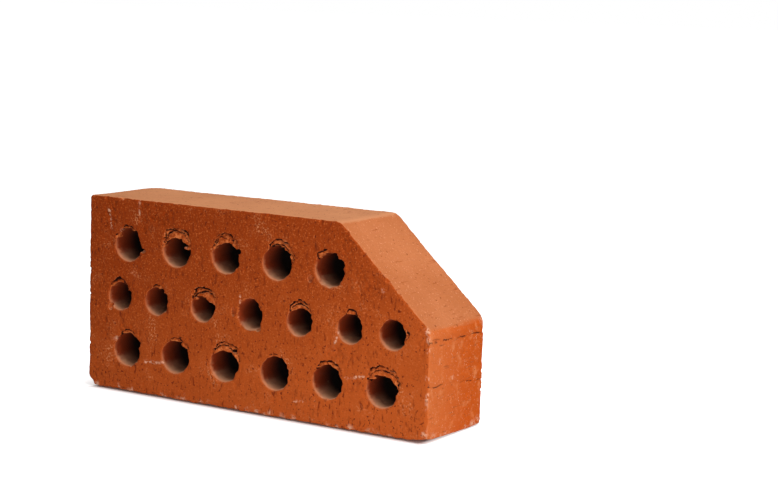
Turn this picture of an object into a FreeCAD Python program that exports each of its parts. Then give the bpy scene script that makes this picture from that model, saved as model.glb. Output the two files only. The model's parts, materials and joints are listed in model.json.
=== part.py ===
"""Cored clay facing brick with one corner cut off on a slant.

The brick is one solid, extruded through a die and wire-cut to its thickness. It stands on its long
narrow face: X runs along its length, Y along the cores (the way the clay left the die) and Z up.
The origin is the middle of the bounding box at floor level. All sizes are in millimetres.
"""

import math
import os

import FreeCAD
import Part

# Outer size
LENGTH = 250.0
HEIGHT = 122.0
THICKNESS = 63.0

# Cut corner: the slanting face runs from the end of the top face to the top of the short end
TOP_LENGTH = 187.5
END_HEIGHT = 65.0

# Rounding of the die's corners, seen on the large perforated face
SQUARE_CORNER_RADIUS = 2.0
CUT_TOP_RADIUS = 8.0
CUT_FOOT_RADIUS = 12.0

# Cores: two outer rows of large ones, and between them a middle row of smaller ones
OUTER_CORE_DIAMETER = 20.0
OUTER_CORE_COUNT = 6
MIDDLE_CORE_DIAMETER = 17.0
MIDDLE_CORE_COUNT = 7

# Clay left between the rows and the outside of the brick
BOTTOM_WALL = 17.0
TOP_WALL = 19.0
OUTER_END_WALL = 21.25
MIDDLE_END_WALL = 16.5

# The first and last cores of the middle row stand closer to their neighbours than the rest
MIDDLE_END_PITCH = 29.0

# A core with less clay than this between it and the slanting face is left out of the die
LEAST_SLANT_WALL = 8.0


def point(x, z):
    """A point on the front face, with x measured from the long end and z from the floor."""
    return FreeCAD.Vector(x - LENGTH / 2, -THICKNESS / 2, z)


def rounded_outline(corners):
    """A closed face through the corners, each given as (point, radius), with a tangent arc at each."""
    arcs = []
    for i, (corner, radius) in enumerate(corners):
        back = (corners[i - 1][0] - corner).normalize()
        ahead = (corners[(i + 1) % len(corners)][0] - corner).normalize()
        half_angle = back.getAngle(ahead) / 2
        setback = radius / math.tan(half_angle)
        middle = (back + ahead).normalize() * (radius / math.sin(half_angle) - radius)
        arcs.append((corner + back * setback, corner + middle, corner + ahead * setback))
    edges = []
    for i, (start, middle, end) in enumerate(arcs):
        edges.append(Part.LineSegment(arcs[i - 1][2], start).toShape())
        edges.append(Part.Arc(start, middle, end).toShape())
    return Part.Face(Part.Wire(edges))


def brick_body():
    """The uncored brick: the five-sided outline extruded to the thickness."""
    outline = rounded_outline(
        [
            (point(0, 0), SQUARE_CORNER_RADIUS),
            (point(LENGTH, 0), SQUARE_CORNER_RADIUS),
            (point(LENGTH, END_HEIGHT), CUT_FOOT_RADIUS),
            (point(TOP_LENGTH, HEIGHT), CUT_TOP_RADIUS),
            (point(0, HEIGHT), SQUARE_CORNER_RADIUS),
        ]
    )
    return outline.extrude(FreeCAD.Vector(0, THICKNESS, 0))


def spread(first, last, count):
    """Evenly spaced places from first to last."""
    return [first + (last - first) * i / (count - 1) for i in range(count)]


def outer_row(z):
    """(x, z, radius) of each core that an outer row has room for between the two ends."""
    radius = OUTER_CORE_DIAMETER / 2
    end = OUTER_END_WALL + radius
    return [(x, z, radius) for x in spread(end, LENGTH - end, OUTER_CORE_COUNT)]


def middle_row(z):
    """(x, z, radius) of each core of the middle row."""
    radius = MIDDLE_CORE_DIAMETER / 2
    end = MIDDLE_END_WALL + radius
    inner = end + MIDDLE_END_PITCH
    xs = [end] + spread(inner, LENGTH - inner, MIDDLE_CORE_COUNT - 2) + [LENGTH - end]
    return [(x, z, radius) for x in xs]


def wall_to_slant(x, z, radius):
    """How much clay lies between a core at (x, z) and the slanting face."""
    run = LENGTH - TOP_LENGTH
    drop = HEIGHT - END_HEIGHT
    return ((TOP_LENGTH - x) * drop + (HEIGHT - z) * run) / math.hypot(run, drop) - radius


def core_places():
    """(x, z, radius) of every core that the die holds, the middle row halfway between the others."""
    bottom = BOTTOM_WALL + OUTER_CORE_DIAMETER / 2
    top = HEIGHT - TOP_WALL - OUTER_CORE_DIAMETER / 2
    places = outer_row(bottom) + middle_row((bottom + top) / 2) + outer_row(top)
    return [place for place in places if wall_to_slant(*place) >= LEAST_SLANT_WALL]


def cores():
    """The cores as cylinders right through the thickness."""
    along = FreeCAD.Vector(0, 1, 0)
    return [Part.makeCylinder(r, THICKNESS, point(x, z), along) for x, z, r in core_places()]


def main():
    os.makedirs("parts", exist_ok=True)
    brick = brick_body().cut(cores())
    solid = brick.Solids[0]
    solid.exportStep("parts/brick.step")
    box = solid.BoundBox
    print(f"brick: {len(brick.Solids)} solid, {len(core_places())} cores, {solid.Volume / 1000:.1f} cm3")
    print(f"box {box.XLength:.1f} x {box.YLength:.1f} x {box.ZLength:.1f} mm, valid {solid.isValid()}")


main()
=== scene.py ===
"""Looks of the cored clay brick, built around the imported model.

The clay is worked as a field of distances on a fine grid, in millimetres, in the order that the real
brick was made: extruded with its cores, cut by a wire that tore the clay above the cores, then dried,
fired and knocked about. The field is meshed, thinned and given a procedural fired-clay material.
"""

import json
import math
from collections import namedtuple

import bpy
import numpy as np
import openvdb
from mathutils import Matrix, Vector


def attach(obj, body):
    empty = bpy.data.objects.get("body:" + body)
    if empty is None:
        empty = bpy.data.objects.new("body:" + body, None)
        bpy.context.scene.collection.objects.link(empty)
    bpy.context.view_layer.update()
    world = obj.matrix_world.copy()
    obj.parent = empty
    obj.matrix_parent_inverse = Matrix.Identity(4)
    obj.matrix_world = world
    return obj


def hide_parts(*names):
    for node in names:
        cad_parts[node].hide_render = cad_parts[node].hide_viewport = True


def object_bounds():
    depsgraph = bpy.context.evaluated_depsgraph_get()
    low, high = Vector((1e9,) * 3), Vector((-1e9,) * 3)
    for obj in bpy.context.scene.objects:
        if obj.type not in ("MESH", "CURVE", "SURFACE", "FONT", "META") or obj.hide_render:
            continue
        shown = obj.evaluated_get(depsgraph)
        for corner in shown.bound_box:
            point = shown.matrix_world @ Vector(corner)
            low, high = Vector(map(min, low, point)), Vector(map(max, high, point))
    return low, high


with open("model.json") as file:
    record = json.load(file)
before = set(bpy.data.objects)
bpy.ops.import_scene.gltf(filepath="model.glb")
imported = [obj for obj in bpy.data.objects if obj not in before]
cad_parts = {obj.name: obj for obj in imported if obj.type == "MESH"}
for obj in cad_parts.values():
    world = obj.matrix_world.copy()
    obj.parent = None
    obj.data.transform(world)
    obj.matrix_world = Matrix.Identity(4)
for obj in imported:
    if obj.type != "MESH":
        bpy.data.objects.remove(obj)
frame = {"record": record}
CAD_LOW, CAD_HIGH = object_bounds()

MM = 1000.0
CELL = 0.55
MOST_TRIANGLES = 190_000
# two distances closer than this, in mm, count as the same
TOUCHING = 1e-3
# the field is kept to this distance either side of the surface, in mm
FIELD_BAND = 3.0
# the surface is taken this many mm inside the clay, so it stays within the CAD model's box
SHRINK = -0.04
LOW, HIGH = np.array(CAD_LOW) * MM, np.array(CAD_HIGH) * MM
MOUNTS = {m["name"]: m for m in frame["record"]["mounts"]}
FRONT, BACK = LOW[1], HIGH[1]

WEAR_SEED, BACK_TEAR_SEED = 20, 5
rng = np.random.default_rng(WEAR_SEED)


# ---- The grid and its noise -------------------------------------------------------------------

def axis_steps(i):
    return np.arange(LOW[i] - 3 * CELL, HIGH[i] + 4 * CELL, CELL).astype(np.float32)


XS, YS, ZS = (axis_steps(i) for i in range(3))
X, Y, Z = np.ix_(XS, YS, ZS)


def stretch(lattice, steps, spacing, axis):
    """Interpolates a lattice of random values smoothly along one axis."""
    t = (steps - steps[0]) / spacing
    i = np.floor(t).astype(int)
    f = (t - i).astype(np.float32)
    f = f * f * (3 - 2 * f)
    shape = [1] * lattice.ndim
    shape[axis] = -1
    f = f.reshape(shape)
    return np.take(lattice, i, axis) * (1 - f) + np.take(lattice, i + 1, axis) * f


def noise(spacing, axes=(XS, YS, ZS)):
    """Smooth noise from -1 to 1; spacing is its grain in millimetres along each axis."""
    counts = [int((a[-1] - a[0]) / s) + 3 for a, s in zip(axes, spacing)]
    values = rng.uniform(-1, 1, counts).astype(np.float32)
    for axis, (steps, s) in enumerate(zip(axes, spacing)):
        values = stretch(values, steps, s, axis)
    return values


def flat_noise(spacing_x, spacing_z):
    """Noise over a large face, the same at every depth."""
    return noise((spacing_x, spacing_z), (XS, ZS))


def soft_max(a, b, width):
    """The larger of two distances, with the crease between them rounded over this width."""
    overlap = np.maximum(width - np.abs(a - b), 0)
    return np.maximum(a, b) + overlap * overlap / (4 * width)


# ---- Extruding: outline and cores ---------------------------------------------------------------

def core_places():
    """Name of each core: (x, z, radius), from the record's bores and openings."""
    places = {}
    for name, m in MOUNTS.items():
        if m["kind"] == "bore":
            places[name] = (m["pos_m"][0] * MM, m["pos_m"][2] * MM, m["dims"]["r_mm"])
    for opening in frame["record"]["physics"]["openings"]:
        middle = np.mean(opening["box_m"], axis=0) * MM
        places[opening["name"]] = (middle[0], middle[2], MOUNTS["middle_core_4"]["dims"]["r_mm"])
    return places


CORES = core_places()


def outline():
    """Distance over the X-Z plane to the five-sided outline, rounded at its corners."""
    x, z = XS[:, None], ZS[None, :]
    slant = MOUNTS["slant_face"]
    normal, middle = np.array(slant["axis"]), np.array(slant["pos_m"]) * MM
    sides = [
        LOW[2] - z + 0 * x,
        x - HIGH[0] + 0 * z,
        (x - middle[0]) * normal[0] + (z - middle[2]) * normal[2],
        z - HIGH[2] + 0 * x,
        LOW[0] - x + 0 * z,
    ]
    # blend widths that give corner radii of 2, 12, 8, 2 and 2 mm at these angles
    widths = [2.3, 4.1, 2.2, 2.3, 2.3]
    flat = np.max(sides, axis=0)
    whole = flat.copy()
    for i, width in enumerate(widths):
        one, other = sides[i], sides[(i + 1) % len(sides)]
        overlap = np.maximum(width - np.abs(one - other), 0)
        at_corner = np.maximum(one, other) > flat - TOUCHING
        whole += np.where(at_corner, overlap * overlap / (4 * width), 0)
    return whole.astype(np.float32)


def skin():
    """The sides that slid through the die: drag marks along the extrusion, and a soft waviness."""
    relief = 0.16 * noise((2.0, 16, 2.0)) + 0.14 * noise((6, 30, 6)) + 0.25 * noise((28, 50, 28))
    grain = 0.10 * noise((1.3, 1.3, 1.3))
    return outline()[:, None, :] + np.maximum(relief + grain + 0.25, 0)


def worn_foot():
    """The underside: its front arris is worn and ragged, most of all below the slant."""
    along = np.clip((X - (HIGH[0] - 20)) / 20, 0, 1) ** 2
    across = np.clip((BACK - Y) / (BACK - FRONT), 0, 1)
    arris = np.clip((FRONT + 7 - Y) / 7, 0, 1)
    ragged = 1.0 + 0.5 * noise((5, 9, 9)) + 0.4 * noise((1.6, 3, 3))
    return LOW[2] - Z + 2.4 * along * across + arris * ragged


# ---- Cutting: the wire's marks and the tears above the cores --------------------------------------

# core: (first angle, last angle, reach in mm, layers, depth in mm), angles from +X towards +Z
FRONT_TEARS = {
    "upper_core_1": (60, 160, 1.6, 1, 1.8),
    "upper_core_2": (-12, 172, 4.0, 2, 3.8),
    "upper_core_3": (20, 160, 3.8, 2, 3.0),
    "upper_core_4": (0, 130, 4.4, 2, 3.2),
    "upper_core_5": (95, 150, 2.6, 1, 2.2),
    "middle_core_1": (35, 145, 3.2, 1, 2.4),
    "middle_core_2": (50, 125, 1.6, 1, 1.6),
    "middle_core_3": (5, 150, 4.8, 2, 3.6),
    "middle_core_5": (25, 145, 4.2, 2, 3.0),
    "middle_core_6": (35, 125, 2.8, 1, 2.2),
    "middle_core_7": (-15, 30, 2.0, 1, 1.8),
    "lower_core_1": (55, 135, 2.2, 1, 2.0),
    "lower_core_2": (20, 120, 3.0, 1, 2.4),
    "lower_core_3": (0, 145, 4.6, 2, 3.6),
    "lower_core_4": (60, 115, 1.8, 1, 1.8),
    "lower_core_5": (35, 140, 3.2, 1, 2.4),
    "lower_core_6": (-5, 162, 4.8, 2, 3.8),
}
FLARED_CORE = "middle_core_4"
FRAYED_CORES = ("upper_core_5", "middle_core_4", "lower_core_5", "lower_core_1")


def polar(core):
    """Distance outside a core's wall and angle round it, over the X-Z plane."""
    x, z, radius = CORES[core]
    dx, dz = XS[:, None] - x, ZS[None, :] - z
    return np.hypot(dx, dz) - radius, np.degrees(np.arctan2(dz, dx))


# the crack and flake masks only colour the clay: painted shade in the cracks, a painted highlight on the
# flakes
Torn = namedtuple("Torn", "deep crack flake")
# how far inside a core's wall a torn arc still reaches, in mm, to cover the lips
TORN_INSIDE = 6


def tears(plan):
    """Layered arcs that each ramp in and break off: their depth, and masks of their cracks and their
    flakes, for painted shade in the cracks and a painted highlight on the flakes.
    """
    deep = np.zeros((len(XS), len(ZS)), np.float32)
    crack, flake = deep.copy(), deep.copy()
    warp = 1.0 * flat_noise(4.5, 3.2) + 0.6 * flat_noise(2.0, 1.5)
    strength = np.clip(0.95 + 0.75 * flat_noise(5.5, 2.4), 0.15, 1.4)
    for core, (first, last, reach, layers, depth) in plan.items():
        out, angle = polar(core)
        share = ((angle - first) % 360) / (last - first)
        width = reach * np.sin(np.pi * np.clip(share, 0, 1)) ** 0.6 + 1e-3
        q = (out + warp) / width
        inside = (share < 1) & (q < 1) & (out > -TORN_INSIDE)
        step = np.maximum(q, 0) * layers % 1
        deep = np.where(inside, depth * strength * (0.15 + 0.85 * step ** 1.5), deep)
        crack = np.where(inside, np.clip((step - 0.5) / 0.16, 0, 1) * strength, crack)
        flake = np.where(inside, np.clip((0.62 - step) / 0.2, 0, 1) * strength, flake)
    return Torn(deep, crack, flake)


def random_tears(seed):
    """Tears for the far face, on the same side of the cores, since one wire cut both."""
    draw = np.random.default_rng(seed)
    plan = {}
    for core in CORES:
        middle, half = draw.uniform(60, 110), draw.uniform(35, 80)
        reach = draw.uniform(1.8, 6.0)
        layers = 1 + int(reach / 2.2)
        plan[core] = (middle - half, middle + half, reach, layers, 1.2 + 0.35 * reach)
    return plan


TORN = {"front": tears(FRONT_TEARS), "back": tears(random_tears(BACK_TEAR_SEED))}


def cut_face(distance, torn):
    """A wire-cut face: a flat plane with fine drag marks down it and its tears."""
    drag = 0.13 * noise((1.4, 10, 9)) + 0.12 * noise((5, 10, 14)) + 0.22 * noise((30, 30, 26))
    grain = 0.12 * noise((1.2, 1.2, 1.2))
    return distance + np.maximum(drag + grain + 0.22, 0) + torn[:, None, :]


# core: (middle angle, half its span, overhang in mm): clay dragged down over the tops of mouths
LIPS = {
    "upper_core_2": (85, 75, 3.4),
    "upper_core_3": (85, 70, 2.0),
    "middle_core_3": (80, 65, 2.0),
    "middle_core_5": (95, 60, 1.2),
    "lower_core_3": (85, 65, 2.2),
    "lower_core_6": (80, 70, 1.8),
}


# the wear of a mouth reaches this far from its core's wall, in mm
MOUTH_WEAR = 9


def core_hollow():
    """Distance inside the nearest core's wall, ragged near both mouths and streaked along it."""
    hollow = np.full((len(XS), len(ZS)), -1e3, np.float32)
    ragged = np.zeros_like(hollow)
    flare = np.zeros_like(hollow)
    lip = np.zeros_like(hollow)
    rim = np.full_like(hollow, 0.8)
    for core in CORES:
        out, angle = polar(core)
        near = out < MOUTH_WEAR
        hollow = np.maximum(hollow, -out)
        # the wire leaves the lower left of each mouth smooth and plucks the rest
        plucked = 0.5 + 0.5 * np.cos(np.radians(angle - 50))
        if core in FRAYED_CORES:
            plucked = 0.45 + 0.55 * plucked
        ragged = np.where(near, 0.15 + 0.85 * plucked, ragged)
        if core in LIPS:
            middle, half, overhang = LIPS[core]
            turn = np.radians(np.clip((angle - middle) / half, -1, 1) * 90)
            lip = np.where(near, overhang * np.cos(turn), lip)
        if core == FLARED_CORE:
            flare = np.where(near, 1.6 - 1.4 * np.cos(np.radians(angle - 20)), flare)
        rim = np.where(near, 1.9 - 1.4 * plucked, rim)
    depth = np.minimum(Y - FRONT, BACK - Y)
    mouth = np.exp(-np.maximum(depth, 0) / 2.8)
    pluck = 1.6 * noise((3.0, 2.8, 3.0)) + 1.1 * noise((1.5, 1.7, 1.5)) + 0.35
    pluck *= ragged[:, None, :] * mouth
    pluck += flare[:, None, :] * np.exp(-np.maximum(Y - FRONT, 0) / 1.8)
    pluck -= lip[:, None, :] * np.clip((FRONT + 4.5 - Y) / 2.5, 0, 1)
    streak = 0.14 * noise((1.8, 20, 1.8)) + 0.1 * noise((1.3, 1.3, 1.3))
    return hollow[:, None, :] + pluck + streak, rim[:, None, :]


# ---- Knocks, pits and crumbs -------------------------------------------------------------------

def window(centre, radii):
    """Slices of the grid round a centre."""
    cuts = []
    for steps, c, r in zip((XS, YS, ZS), centre, radii):
        first = max(int((c - r - steps[0]) / CELL), 0)
        last = min(int((c + r - steps[0]) / CELL) + 2, len(steps))
        if last <= first:
            return None
        cuts.append(slice(first, last))
    return tuple(cuts)


def lump(centre, radii, cut):
    """Depth inside an ellipsoid, over a window of the grid."""
    parts = [
        (steps[s] - c) / r for steps, s, c, r in zip((XS, YS, ZS), cut, centre, radii)
    ]
    px, py, pz = np.ix_(*parts)
    return (1 - np.sqrt(px * px + py * py + pz * pz)) * min(radii)


def scoop(field, centre, radii):
    """Takes an ellipsoid of clay away."""
    cut = window(centre, radii)
    if cut:
        field[cut] = np.maximum(field[cut], lump(centre, radii, cut))


def stick(field, centre, radii):
    """Adds an ellipsoid of clay."""
    cut = window(centre, radii)
    if cut:
        field[cut] = np.minimum(field[cut], -lump(centre, radii, cut))


def scatter_pits(field):
    """Small pits over every outside face, most of them on the wire-cut ones."""
    height = HIGH[2] - LOW[2]
    for face_y, count in ((FRONT, 700), (BACK, 600)):
        for _ in range(count):
            x, z = rng.uniform(LOW[0], HIGH[0]), rng.uniform(LOW[2], HIGH[2])
            r = rng.uniform(0.5, 0.9) + 0.5 * rng.random() ** 4
            radii = (r * rng.uniform(0.7, 1.2), r * 0.8, r * rng.uniform(0.7, 1.5))
            scoop(field, (x, face_y, z), radii)
    slant = MOUNTS["slant_face"]
    normal, middle = np.array(slant["axis"]), np.array(slant["pos_m"]) * MM
    down = np.array((normal[2], 0, -normal[0]))
    for _ in range(120):
        along = down * rng.uniform(-40, 40) + np.array((0, rng.uniform(FRONT, BACK), 0))
        r = rng.uniform(0.5, 0.9)
        scoop(field, middle + along + normal * 0.1, (r * 0.7, r * rng.uniform(1, 2.4), r * 0.7))
    for _ in range(90):
        y, z = rng.uniform(FRONT, BACK), rng.uniform(0, 62)
        r = rng.uniform(0.5, 0.9)
        scoop(field, (HIGH[0] - 0.1, y, z), (r * 0.7, r * rng.uniform(1, 2), r * 0.7))
        scoop(field, (LOW[0] + 0.1, y, z * height / 62), (r * 0.7, r * rng.uniform(1, 2), r * 0.7))
    for _ in range(160):
        x, y = rng.uniform(LOW[0], HIGH[0]), rng.uniform(FRONT, BACK)
        r = rng.uniform(0.5, 0.8)
        scoop(field, (x, y, HIGH[2] - 0.1), (r * 0.7, r * rng.uniform(1, 2), r * 0.6))
        scoop(field, (x, y, LOW[2] + 0.1), (r * 0.7, r * rng.uniform(1, 2), r * 0.6))


# (x, z) to (x, z), half width, depth: scrapes on the front, in millimetres
SCRAPES = [
    ((-80.5, 20.8), (-64.5, 22.6), 0.55, 0.5),
    ((68.5, 31.2), (83.0, 33.4), 0.45, 0.4),
    ((63.6, 58.0), (59.8, 45.5), 0.5, 0.45),
    ((-110.2, 116.0), (-106.6, 101.0), 0.5, 0.5),
    ((-85.2, 121.0), (-84.8, 112.0), 0.4, 0.4),
    ((-8.0, 62.0), (-7.0, 72.0), 0.35, 0.35),
    ((33.0, 12.0), (40.0, 12.8), 0.35, 0.35),
]


def scrape_map():
    """How strongly the front is scraped, over the X-Z plane."""
    x, z = XS[:, None], ZS[None, :]
    scraped = np.zeros((len(XS), len(ZS)), np.float32)
    wander = 0.4 * flat_noise(4, 4)
    broken = np.clip(0.75 + 0.9 * flat_noise(2.2, 2.2), 0, 1)
    for (x0, z0), (x1, z1), half, depth in SCRAPES:
        length = math.hypot(x1 - x0, z1 - z0)
        ux, uz = (x1 - x0) / length, (z1 - z0) / length
        along = (x - x0) * ux + (z - z0) * uz
        aside = (z - z0) * ux - (x - x0) * uz + wander
        near = np.exp(-((aside / half) ** 2)) * (along > 0) * (along < length)
        scraped = np.maximum(scraped, depth * near * broken)
    return scraped


SCRAPED = scrape_map()

# (x, z, half width, half height, pits): rough patches on the front
ROUGH_PATCHES = [
    (68, 106, 5, 11, 60),
    (80, 87, 7, 6, 46),
    (-108, 110, 5, 11, 50),
    (-82, 111, 4, 9, 22),
    (-90, 37, 7, 5, 26),
    (62, 44, 8, 4, 34),
    (-70, 112, 12, 5, 34),
    (120, 62, 3, 9, 40),
    (78, 26, 14, 5, 30),
]


def rough_patches(field):
    for x, z, half_x, half_z, count in ROUGH_PATCHES:
        for _ in range(count):
            px, pz = x + half_x * rng.normal() * 0.6, z + half_z * rng.normal() * 0.6
            r = rng.uniform(0.55, 1.15)
            scoop(field, (px, FRONT + 0.2, pz), (r, r * 0.9, r * rng.uniform(0.8, 1.5)))


def knocks(field):
    """Chips along the arrises."""
    edges = [
        # (start, end, chips)
        ((LOW[0], FRONT, LOW[2]), (HIGH[0], FRONT, LOW[2]), 60),
        ((LOW[0], BACK, LOW[2]), (HIGH[0], BACK, LOW[2]), 50),
        ((LOW[0], FRONT, HIGH[2]), (62, FRONT, HIGH[2]), 22),
        ((LOW[0], BACK, HIGH[2]), (62, BACK, HIGH[2]), 22),
        ((62, FRONT, HIGH[2]), (HIGH[0], FRONT, 65), 14),
        ((62, BACK, HIGH[2]), (HIGH[0], BACK, 65), 14),
        ((HIGH[0], FRONT, 66), (HIGH[0], FRONT, LOW[2]), 46),
        ((HIGH[0], BACK, 66), (HIGH[0], BACK, LOW[2]), 26),
        ((LOW[0], FRONT, HIGH[2]), (LOW[0], FRONT, LOW[2]), 30),
        ((LOW[0], BACK, HIGH[2]), (LOW[0], BACK, LOW[2]), 30),
        ((HIGH[0], FRONT, LOW[2]), (HIGH[0], BACK, LOW[2]), 26),
        ((LOW[0], FRONT, LOW[2]), (LOW[0], BACK, LOW[2]), 16),
    ]
    for start, end, count in edges:
        start, end = np.array(start), np.array(end)
        for _ in range(count):
            place = start + (end - start) * rng.random() + rng.normal(0, 0.25, 3)
            r = 0.5 + 1.1 * rng.random() ** 3
            scoop(field, place, r * rng.uniform(0.8, 1.5, 3))


# (normal, a place on the break): corners of the long end that were knocked off
KNOCKED_CORNERS = [
    ((-0.8, -0.3, -0.6), (-122.0, FRONT, 4.2)),
    ((-0.6, -0.5, 0.8), (-123.9, FRONT, 121.3)),
    ((-0.75, 0.55, 0.5), (-124.5, 23.0, 122.0)),
]


def knocked_corner(normal, place):
    """A rough plane through a place, with what lies beyond it knocked off."""
    nx, ny, nz = np.array(normal) / np.linalg.norm(normal)
    rough = 0.35 * noise((2.5, 2.5, 2.5)) + 0.4 * noise((6, 6, 6))
    return nx * (X - place[0]) + ny * (Y - place[1]) + nz * (Z - place[2]) + rough


# (z at the front, fall towards the back, depth): cracks along the extrusion on the short end
END_CRACKS = [(58.6, 2.6, 0.65), (33.0, 4.5, 0.55), (45.0, 2.0, 0.25), (20.0, 3.0, 0.3)]


def end_cracks():
    """How deep the short end is cracked, over its Y-Z plane."""
    y, z = YS[:, None], ZS[None, :]
    deep = np.zeros((len(YS), len(ZS)), np.float32)
    wander = 0.7 * noise((9, 30), (YS, ZS)) + 0.35 * noise((3, 30), (YS, ZS))
    broken = np.clip(0.7 + 0.9 * noise((5, 12), (YS, ZS)), 0, 1)
    for level, fall, depth in END_CRACKS:
        line = level - fall * (y - FRONT) / (BACK - FRONT) + wander
        deep = np.maximum(deep, depth * broken * np.exp(-(((z - line) / 0.5) ** 2)))
    return deep


END_CRACKED = end_cracks()


# (core, angle, distance from its axis, half sizes): tongues of clay left hanging in a mouth
TONGUES = [
    ("upper_core_2", 14, 8.6, (3.2, 0.9, 1.1)),
    ("middle_core_3", 137, 7.6, (2.6, 0.8, 0.9)),
    ("lower_core_6", 135, 9.4, (2.8, 0.8, 0.9)),
    ("lower_core_3", 118, 9.8, (2.2, 0.7, 0.8)),
    ("upper_core_1", 150, 10.0, (1.5, 0.8, 1.2)),
]


# (centre, half sizes): bites out of the rims of the mouths
NOTCHES = [
    ((5.6, FRONT + 1, 53.0), (2.4, 6, 2.6)),
    ((-82.0, FRONT + 1, 90.2), (2.0, 4, 1.4)),
    ((-9.6, FRONT + 1, 96.9), (2.2, 4, 1.6)),
    ((42.5, FRONT + 1, 86.4), (1.8, 4, 2.4)),
    ((-107.5, FRONT + 1, 52.6), (1.6, 3, 2.2)),
    ((-12.6, FRONT + 1, 60.5), (1.4, 4, 3.0)),
]


def tongues(field):
    for core, angle, out, radii in TONGUES:
        x, z, _ = CORES[core]
        a = math.radians(angle)
        stick(field, (x + out * math.cos(a), FRONT + 1.5, z + out * math.sin(a)), radii)


def clay():
    """The whole brick as a field of distances, negative in the clay."""
    sides = np.maximum(skin(), worn_foot())
    wear = 1.3 + 0.7 * noise((9, 9, 9))
    front = cut_face(FRONT - Y, TORN["front"].deep + SCRAPED)
    body = soft_max(sides, front, wear)
    del front
    back = cut_face(Y - BACK, TORN["back"].deep)
    body = soft_max(body, back, wear)
    del back, sides, wear
    hollow, rim = core_hollow()
    body = soft_max(body, hollow, rim)
    for normal, place in KNOCKED_CORNERS:
        body = np.maximum(body, knocked_corner(normal, place))
    at_end = X > HIGH[0] - 2
    body = np.where(at_end, np.maximum(body, X - HIGH[0] + END_CRACKED[None, :, :]), body)
    tongues(body)
    for centre, radii in NOTCHES:
        scoop(body, centre, radii)
    scatter_pits(body)
    rough_patches(body)
    knocks(body)
    return body


def meshed(field):
    """The field's surface as a mesh, with the loose crumbs left out."""
    grid = openvdb.FloatGrid(FIELD_BAND)
    grid.copyFromArray(np.clip(field, -FIELD_BAND, FIELD_BAND).astype(np.float32))
    points, triangles, quads = grid.convertToPolygons(isovalue=SHRINK, adaptivity=0.0)
    quads = quads[in_brick(quads, len(points))]
    kept, quads = np.unique(quads, return_inverse=True)
    points = (points[kept] * CELL + np.array([XS[0], YS[0], ZS[0]])) / MM
    mesh = bpy.data.meshes.new("brick_clay")
    mesh.from_pydata(points.tolist(), [], quads.reshape(-1, 4).tolist())
    mesh.update()
    return mesh


def in_brick(quads, count):
    """Which quads belong to the largest connected surface."""
    group = np.arange(count)
    while True:
        least = group[quads].min(axis=1)
        before = group.copy()
        np.minimum.at(group, quads.ravel(), np.repeat(least, 4))
        group = group[group]
        if np.array_equal(group, before):
            break
    of_quad = group[quads[:, 0]]
    return of_quad == np.bincount(of_quad).argmax()


def main_mesh():
    mesh = meshed(clay())
    piece = bpy.data.objects.new("brick_clay", mesh)
    bpy.context.scene.collection.objects.link(piece)
    count = sum(len(p.vertices) - 2 for p in mesh.polygons)
    print("triangles before thinning", count)
    thin = piece.modifiers.new("thin", "DECIMATE")
    thin.ratio = min(MOST_TRIANGLES / count, 1)
    evaluated = piece.evaluated_get(bpy.context.evaluated_depsgraph_get())
    thinned = bpy.data.meshes.new_from_object(evaluated)
    piece.modifiers.clear()
    piece.data = thinned
    bpy.data.meshes.remove(mesh)
    thinned.name = "brick_clay"
    return piece


# ---- Material ------------------------------------------------------------------------------------

def linear(r, g, b):
    """A colour written in display values from 0 to 255, as the shader takes it."""
    def one(v):
        v /= 255
        return v / 12.92 if v <= 0.04045 else ((v + 0.055) / 1.055) ** 2.4
    return (one(r), one(g), one(b), 1.0)


class Tree:
    """Adds and links shader nodes."""

    def __init__(self, name):
        self.material = bpy.data.materials.new(name)
        self.material.use_nodes = True
        self.nodes = self.material.node_tree.nodes
        self.links = self.material.node_tree.links
        self.shader = self.nodes["Principled BSDF"]

    def add(self, kind, inputs=None, **settings):
        node = self.nodes.new(kind)
        for key, value in settings.items():
            setattr(node, key, value)
        for key, value in (inputs or {}).items():
            if isinstance(value, bpy.types.NodeSocket):
                self.links.new(value, node.inputs[key])
            else:
                node.inputs[key].default_value = value
        return node

    def noise(self, place, scale, detail=3.0, roughness=0.55):
        node = self.add(
            "ShaderNodeTexNoise",
            {"Vector": place, "Scale": scale, "Detail": detail, "Roughness": roughness},
        )
        return node.outputs["Fac"]

    def ramp(self, value, low, high):
        """0 below low, 1 above high, smooth in between."""
        node = self.add(
            "ShaderNodeMapRange",
            {"Value": value, "From Min": low, "From Max": high},
            interpolation_type="SMOOTHSTEP",
        )
        return node.outputs["Result"]

    def patches(self, place, scale, detail, low, high):
        """Noise turned into patches: 0 between them, 1 inside them."""
        return self.ramp(self.noise(place, scale, detail), low, high)

    def attribute(self, name):
        return self.add("ShaderNodeAttribute", attribute_name=name).outputs["Fac"]

    def mix(self, share, a, b):
        node = self.add("ShaderNodeMix", data_type="RGBA")
        for key, value in ((0, share), (6, a), (7, b)):
            if isinstance(value, bpy.types.NodeSocket):
                self.links.new(value, node.inputs[key])
            else:
                node.inputs[key].default_value = value
        return node.outputs[2]

    def math(self, operation, a, b=0.0):
        return self.add("ShaderNodeMath", {0: a, 1: b}, operation=operation).outputs[0]

    def scaled(self, place, scale):
        node = self.add("ShaderNodeMapping", {"Vector": place, "Scale": scale})
        return node.outputs["Vector"]


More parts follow.
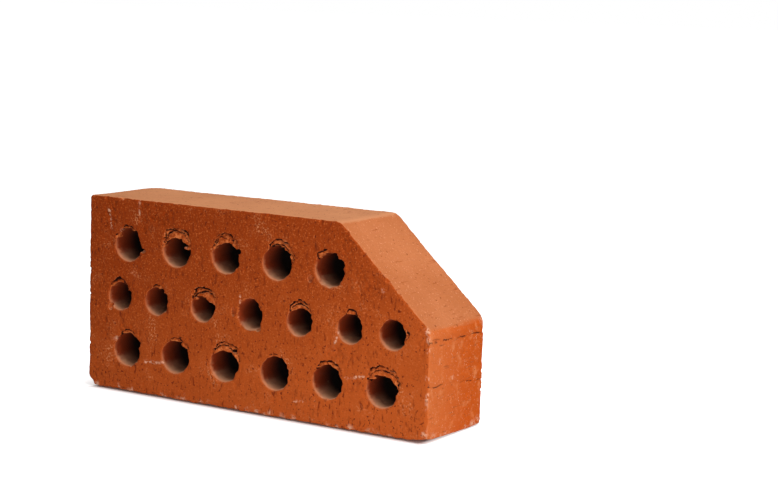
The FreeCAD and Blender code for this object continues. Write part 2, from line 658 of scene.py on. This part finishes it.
def fired_clay():
    t = Tree("fired_clay")
    coordinates = t.add("ShaderNodeTexCoord")
    place = coordinates.outputs["Object"]
    normal = t.add("ShaderNodeSeparateXYZ", {0: coordinates.outputs["Normal"]})
    across = t.math("ABSOLUTE", normal.outputs["Y"])

    # the wire-cut faces: darker at the top of the long end, lighter low on the short end, partly a firing
    # shade and partly painted light, brighter towards the lamps on the right and the floor below
    where = t.add("ShaderNodeSeparateXYZ", {0: place})
    along = t.math("MULTIPLY", where.outputs["X"], 2.2)
    up = t.math("MULTIPLY", where.outputs["Z"], 7.5)
    firing_tone_and_painted_light = t.math("SUBTRACT", along, up)
    firing_tone_and_painted_light = t.math("ADD", firing_tone_and_painted_light, t.math("MULTIPLY", t.noise(place, 30, 4), 0.5))
    bed = t.mix(t.ramp(firing_tone_and_painted_light, -0.8, 0.5), linear(158, 58, 5), linear(200, 91, 32))
    bed = t.mix(t.patches(place, 900, 3, 0.51, 0.74), bed, linear(208, 104, 48))
    drag = t.scaled(place, (1.0, 1.0, 0.3))
    bed = t.mix(t.ramp(t.noise(drag, 520, 3), 0.56, 0.76), bed, linear(126, 44, 8))
    bed = t.mix(t.patches(place, 600, 2, 0.62, 0.7), bed, linear(116, 40, 10))
    areas, crumbs = t.patches(place, 60, 3, 0.54, 0.76), t.patches(place, 800, 2, 0.52, 0.62)
    crust = t.math("MULTIPLY", areas, crumbs)
    bed = t.mix(crust, bed, linear(222, 138, 88))

    # the skin from the die: orange on the sides, paler and pinker on what faces up
    streaks = t.scaled(place, (1.0, 0.12, 1.0))
    back = t.ramp(where.outputs["Y"], FRONT / MM, BACK / MM * 0.7)
    side = t.mix(back, linear(218, 111, 52), linear(208, 88, 14))
    side = t.mix(t.patches(place, 160, 4, 0.5, 0.75), side, linear(224, 126, 70))
    slope = t.mix(t.patches(place, 24, 3, 0.3, 0.7), linear(198, 114, 66), linear(208, 124, 76))
    top = t.mix(t.patches(place, 30, 3, 0.3, 0.7), linear(216, 143, 98), linear(224, 151, 104))
    die = t.mix(t.ramp(normal.outputs["Z"], 0.25, 0.6), side, slope)
    die = t.mix(t.ramp(normal.outputs["Z"], 0.78, 0.94), die, top)
    die = t.mix(t.patches(streaks, 500, 3, 0.62, 0.74), die, linear(172, 82, 40))
    die = t.mix(t.patches(place, 520, 2, 0.66, 0.74), die, linear(150, 66, 30))
    die = t.mix(t.patches(place, 900, 2, 0.6, 0.75), die, linear(232, 160, 118))

    colour = t.mix(t.ramp(across, 0.5, 0.75), die, bed)

    # the cores' walls: paler where they face up at the mouth, partly dust and partly painted light from
    # above, red-brown round the rest, and painted shade that turns them near black deeper inside
    core = t.attribute("core")
    depth = t.attribute("depth")
    wall_dust_painted_light_and_shade = t.mix(t.ramp(normal.outputs["Z"], 0.3, 1.05), linear(160, 62, 26), linear(228, 168, 128))
    wall_dust_painted_light_and_shade = t.mix(t.ramp(depth, 0.0, 0.7), wall_dust_painted_light_and_shade, linear(22, 10, 6))
    colour = t.mix(core, colour, wall_dust_painted_light_and_shade)

    # a pale rim at the lower left of each mouth: partly dust, partly a painted highlight
    dust_and_highlight = t.attribute("dust_and_highlight")
    colour = t.mix(t.math("MULTIPLY", dust_and_highlight, 0.75), colour, linear(224, 142, 98))

    # painted shade, near black, in the depth of each tear and crack, a painted highlight on the torn
    # ridges, and fresh clay where it was chipped or scraped
    crack = t.attribute("crack")
    # the torn ridges get a painted highlight, bright orange, broken up by noise
    flake = t.attribute("flake")
    flake = t.math("MULTIPLY", flake, t.patches(place, 420, 3, 0.38, 0.66))
    colour = t.mix(flake, colour, linear(232, 126, 66))
    colour = t.mix(t.ramp(crack, 0.15, 0.7), colour, linear(44, 14, 6))
    pale = t.attribute("pale")
    pale = t.math("MULTIPLY", pale, t.patches(place, 600, 2, 0.4, 0.55))
    colour = t.mix(pale, colour, linear(236, 176, 142))
    t.links.new(colour, t.shader.inputs["Base Color"])
    t.shader.inputs["Roughness"].default_value = 0.85
    t.shader.inputs["Specular IOR Level"].default_value = 0.12

    coarse = t.math("MULTIPLY", t.noise(place, 420, 3), 1.2)
    height = t.math("ADD", t.noise(place, 1500, 3, 0.65), coarse)
    bump = t.add("ShaderNodeBump", {"Height": height, "Strength": 0.9, "Distance": 0.0005})
    t.links.new(bump.outputs["Normal"], t.shader.inputs["Normal"])
    return t.material


# ---- Marks carried by the mesh ----------------------------------------------------------------------

# pale fresh chips: (x, y, z, radius in mm)
CHIPS = [
    (123, -31, 65, 2.2), (124, -31, 60, 1.6), (124, -31, 54, 1.2), (125, 29, 64, 1.8),
    (124, -31, 37.5, 1.3), (124, -31, 26, 1.2), (125, 21, 2.5, 2.2), (125, 27, 3.5, 2.6),
    (125, -10, 2.2, 1.8), (125, -24, 3, 2.4), (123, -31, 6, 1.8), (73, -31.5, 1.8, 1.8),
    (-88.6, -31, 74.5, 0.9), (93, -31, 85.3, 0.9), (-50, -31, 95.5, 1.2), (-99, -31, 100.5, 1.6),
    (-101.7, -31, 33, 1.6), (125, -19.5, 46, 1.2), (125, -4, 35, 1.2),
]


def arris_chips():
    """More chips, scattered along the bottom arrises and the front one of the short end."""
    def draw(first, last):
        return rng.uniform(first, last)
    low = [(draw(-118, 124), FRONT, draw(0, 2.5), draw(0.8, 1.7)) for _ in range(34)]
    end = [(124.5, FRONT, draw(2, 62), draw(0.7, 1.4)) for _ in range(16)]
    far = [(124.5, draw(FRONT, BACK), draw(0, 2.5), draw(0.8, 1.5)) for _ in range(12)]
    return low + end + far


def grid_index(values, steps):
    return np.clip(((values - steps[0]) / CELL).round().astype(int), 0, len(steps) - 1)


def nearest_core(x, z):
    """Distance outside the nearest core's wall, and angle round it in radians."""
    out, angle = np.full(len(x), FAR_AWAY), np.zeros(len(x))
    for core_x, core_z, radius in CORES.values():
        here = np.hypot(x - core_x, z - core_z) - radius
        angle = np.where(here < out, np.arctan2(z - core_z, x - core_x), angle)
        out = np.minimum(out, here)
    return out, angle


FAR_AWAY = 99.0
# the pale side of a mouth, where the wire left its arris smooth: partly dust on the worn arris, partly a
# painted highlight where it faces the light
DUST_AND_HIGHLIGHT_ANGLE = math.radians(245)
# how deep the torn clay's painted shade and highlight, and the pale rim's dust and painted highlight,
# still show, in mm
TORN_DEPTH, DUST_AND_HIGHLIGHT_DEPTH, SCRAPED_DEPTH = 5, 2.5, 1.5


def mark(piece):
    """Point attributes that the material reads, each from 0 to 1."""
    mesh = piece.data
    count = len(mesh.vertices)
    co = np.empty(count * 3, np.float32)
    mesh.vertices.foreach_get("co", co)
    x, y, z = (co.reshape(-1, 3) * MM).T
    i, j, k = grid_index(x, XS), grid_index(y, YS), grid_index(z, ZS)
    depth = np.minimum(y - FRONT, BACK - y)
    out, angle = nearest_core(x, z)
    pale = np.zeros(count)
    for chip_x, chip_y, chip_z, r in CHIPS + arris_chips():
        away = np.sqrt((x - chip_x) ** 2 + (y - chip_y) ** 2 + (z - chip_z) ** 2) / r
        pale = np.maximum(pale, np.clip(1.4 - away, 0, 1))
    scraped = (depth < SCRAPED_DEPTH) & (y < 0)
    pale = np.maximum(pale, np.where(scraped, 4 * SCRAPED[i, k], 0))
    shallow = (depth < TORN_DEPTH) * (depth > 0.25)
    near, far = TORN["front"], TORN["back"]
    # the crack mask: painted shade in the tears' cracks and in the cracks on the short end
    crack = np.where(y < 0, near.crack[i, k], far.crack[i, k]) * shallow
    # the flake mask: a painted highlight on the torn ridges
    flake = np.where(y < 0, near.flake[i, k], far.flake[i, k]) * shallow
    crack = np.maximum(crack, np.where(x > HIGH[0] - 1.5, END_CRACKED[j, k], 0))
    core = np.clip((depth - 0.6) / 0.8, 0, 1) * (out < 1.2)
    core = np.where(flake > 0, core * (depth > 3), core)
    # the pale lower-left rim of each mouth: partly dust, partly a painted highlight
    dust_and_highlight = np.clip(np.cos(angle - DUST_AND_HIGHLIGHT_ANGLE), 0, 1) * (depth < DUST_AND_HIGHLIGHT_DEPTH)
    dust_and_highlight = dust_and_highlight * np.exp(-((out / 0.6) ** 2)) * (flake == 0)
    marks = {
        "core": core,
        # the depth along a core, which the material turns into painted shade inside it
        "depth": depth / ((BACK - FRONT) / 2),
        "pale": pale,
        "crack": crack,
        "flake": flake,
        "dust_and_highlight": dust_and_highlight,
    }
    for name, values in marks.items():
        attribute = mesh.attributes.new(name, "FLOAT", "POINT")
        attribute.data.foreach_set("value", values.astype(np.float32))


# ---- Stage: floor, lights and camera -------------------------------------------------------------------

FLOOR_SIZE = 30
FLOOR_GREY = 0.8
# glow that the camera sees: (amount, from, to), distances in metres outside the brick's foot; it fades
# out at the foot, which paints shade there
GLOW_NEAR, GLOW_WIDE = (0.62, -0.001, 0.005), (0.34, 0.003, 0.025)
# the knocked corner of the long end leaves this much of the floor beside the foot open
OPEN_CORNER = 0.006


def floor():
    """A pale floor, lit to plain white for the camera but for a dark line at the brick's foot: the real
    contact shadow, deepened by painted shade where the glow fades out near the foot.
    """
    bpy.ops.mesh.primitive_plane_add(size=FLOOR_SIZE, location=(0, 0, 0))
    plane = bpy.context.object
    plane.name = "floor"
    t = Tree("white_floor")
    t.shader.inputs["Base Color"].default_value = (FLOOR_GREY, FLOOR_GREY, FLOOR_GREY, 1)
    t.shader.inputs["Roughness"].default_value = 0.9
    seen = t.add("ShaderNodeLightPath").outputs["Is Camera Ray"]
    position = t.add("ShaderNodeNewGeometry").outputs["Position"]
    place = t.add("ShaderNodeSeparateXYZ", {0: position})
    aside = t.math("SUBTRACT", t.math("ABSOLUTE", place.outputs["X"]), CAD_HIGH[0] - OPEN_CORNER)
    ahead = t.math("SUBTRACT", t.math("ABSOLUTE", place.outputs["Y"]), CAD_HIGH[1])
    away = t.math("MAXIMUM", aside, ahead)
    near, wide = (t.math("MULTIPLY", t.ramp(away, first, last), amount)
                  for amount, first, last in (GLOW_NEAR, GLOW_WIDE))
    strength = t.math("ADD", near, wide)
    glow = t.add("ShaderNodeEmission", {"Color": (1, 1, 1, 1), "Strength": strength})
    both = t.add("ShaderNodeAddShader", {0: t.shader.outputs[0], 1: glow.outputs[0]})
    choice = t.add("ShaderNodeMixShader", {0: seen, 1: t.shader.outputs[0], 2: both.outputs[0]})
    t.links.new(choice.outputs[0], t.nodes["Material Output"].inputs["Surface"])
    plane.data.materials.append(t.material)


def area_light(name, place, aim, size, watts):
    lamp = bpy.data.lights.new(name, "AREA")
    lamp.size = size
    lamp.energy = watts
    holder = bpy.data.objects.new(name, lamp)
    bpy.context.scene.collection.objects.link(holder)
    holder.location = place
    holder.rotation_euler = (Vector(aim) - Vector(place)).to_track_quat("-Z", "Y").to_euler()


WORLD_LIGHT = 0.15
# name: (place, aim, size in metres, watts)
LAMPS = {
    "key": ((0.45, -0.1, 1.2), (0, 0, 0.06), 0.8, 11.5),
    "side": ((1.2, -0.1, 0.35), (0.1, 0, 0.05), 0.7, 3.6),
    "near": ((0.26, -0.55, 0.07), (0.02, -0.03, 0.02), 0.4, 1.7),
}


def lights():
    world = bpy.data.worlds.new("studio")
    bpy.context.scene.world = world
    world.use_nodes = True
    nodes, links = world.node_tree.nodes, world.node_tree.links
    light = nodes["Background"]
    light.inputs["Color"].default_value = (1, 1, 1, 1)
    light.inputs["Strength"].default_value = WORLD_LIGHT
    white = nodes.new("ShaderNodeBackground")
    white.inputs["Strength"].default_value = 1.0
    white.inputs["Color"].default_value = (1, 1, 1, 1)
    path = nodes.new("ShaderNodeLightPath")
    mix = nodes.new("ShaderNodeMixShader")
    links.new(path.outputs["Is Camera Ray"], mix.inputs[0])
    links.new(light.outputs[0], mix.inputs[1])
    links.new(white.outputs[0], mix.inputs[2])
    links.new(mix.outputs[0], nodes["World Output"].inputs["Surface"])
    for name, (place, aim, size, watts) in LAMPS.items():
        area_light(name, place, aim, size, watts)


# The camera's angle round the brick, with a slight roll, a long lens and the brick low on the left
CAMERA_AZIMUTH, CAMERA_ELEVATION, CAMERA_ROLL = (math.radians(a) for a in (31.66, 7.965, 1.736))
CAMERA_DISTANCE = 1.1286
AIM_RIGHT, AIM_UP = 0.06535, 0.03638
LENS_MM, SENSOR_MM = 85.7, 36.0


def camera():
    a, e, r = CAMERA_AZIMUTH, CAMERA_ELEVATION, CAMERA_ROLL
    back = Vector((math.sin(a) * math.cos(e), -math.cos(a) * math.cos(e), math.sin(e)))
    right = (-back).cross(Vector((0, 0, 1))).normalized()
    up = right.cross(-back)
    aim = (CAD_LOW + CAD_HIGH) / 2 + right * AIM_RIGHT + up * AIM_UP
    rolled_right = right * math.cos(r) + up * math.sin(r)
    rolled_up = up * math.cos(r) - right * math.sin(r)
    data = bpy.data.cameras.new("camera")
    data.sensor_width = SENSOR_MM
    data.lens = LENS_MM
    holder = bpy.data.objects.new("camera", data)
    bpy.context.scene.collection.objects.link(holder)
    turn = Matrix((rolled_right, rolled_up, back)).transposed()
    holder.matrix_world = Matrix.Translation(aim + back * CAMERA_DISTANCE) @ turn.to_4x4()
    bpy.context.scene.camera = holder


def main():
    bpy.context.scene.view_settings.view_transform = "Standard"
    camera()
    lights()
    floor()
    brick = main_mesh()
    brick.data.shade_smooth()
    mark(brick)
    brick.data.materials.clear()
    brick.data.materials.append(fired_clay())
    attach(brick, "root")
    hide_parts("brick")


main()
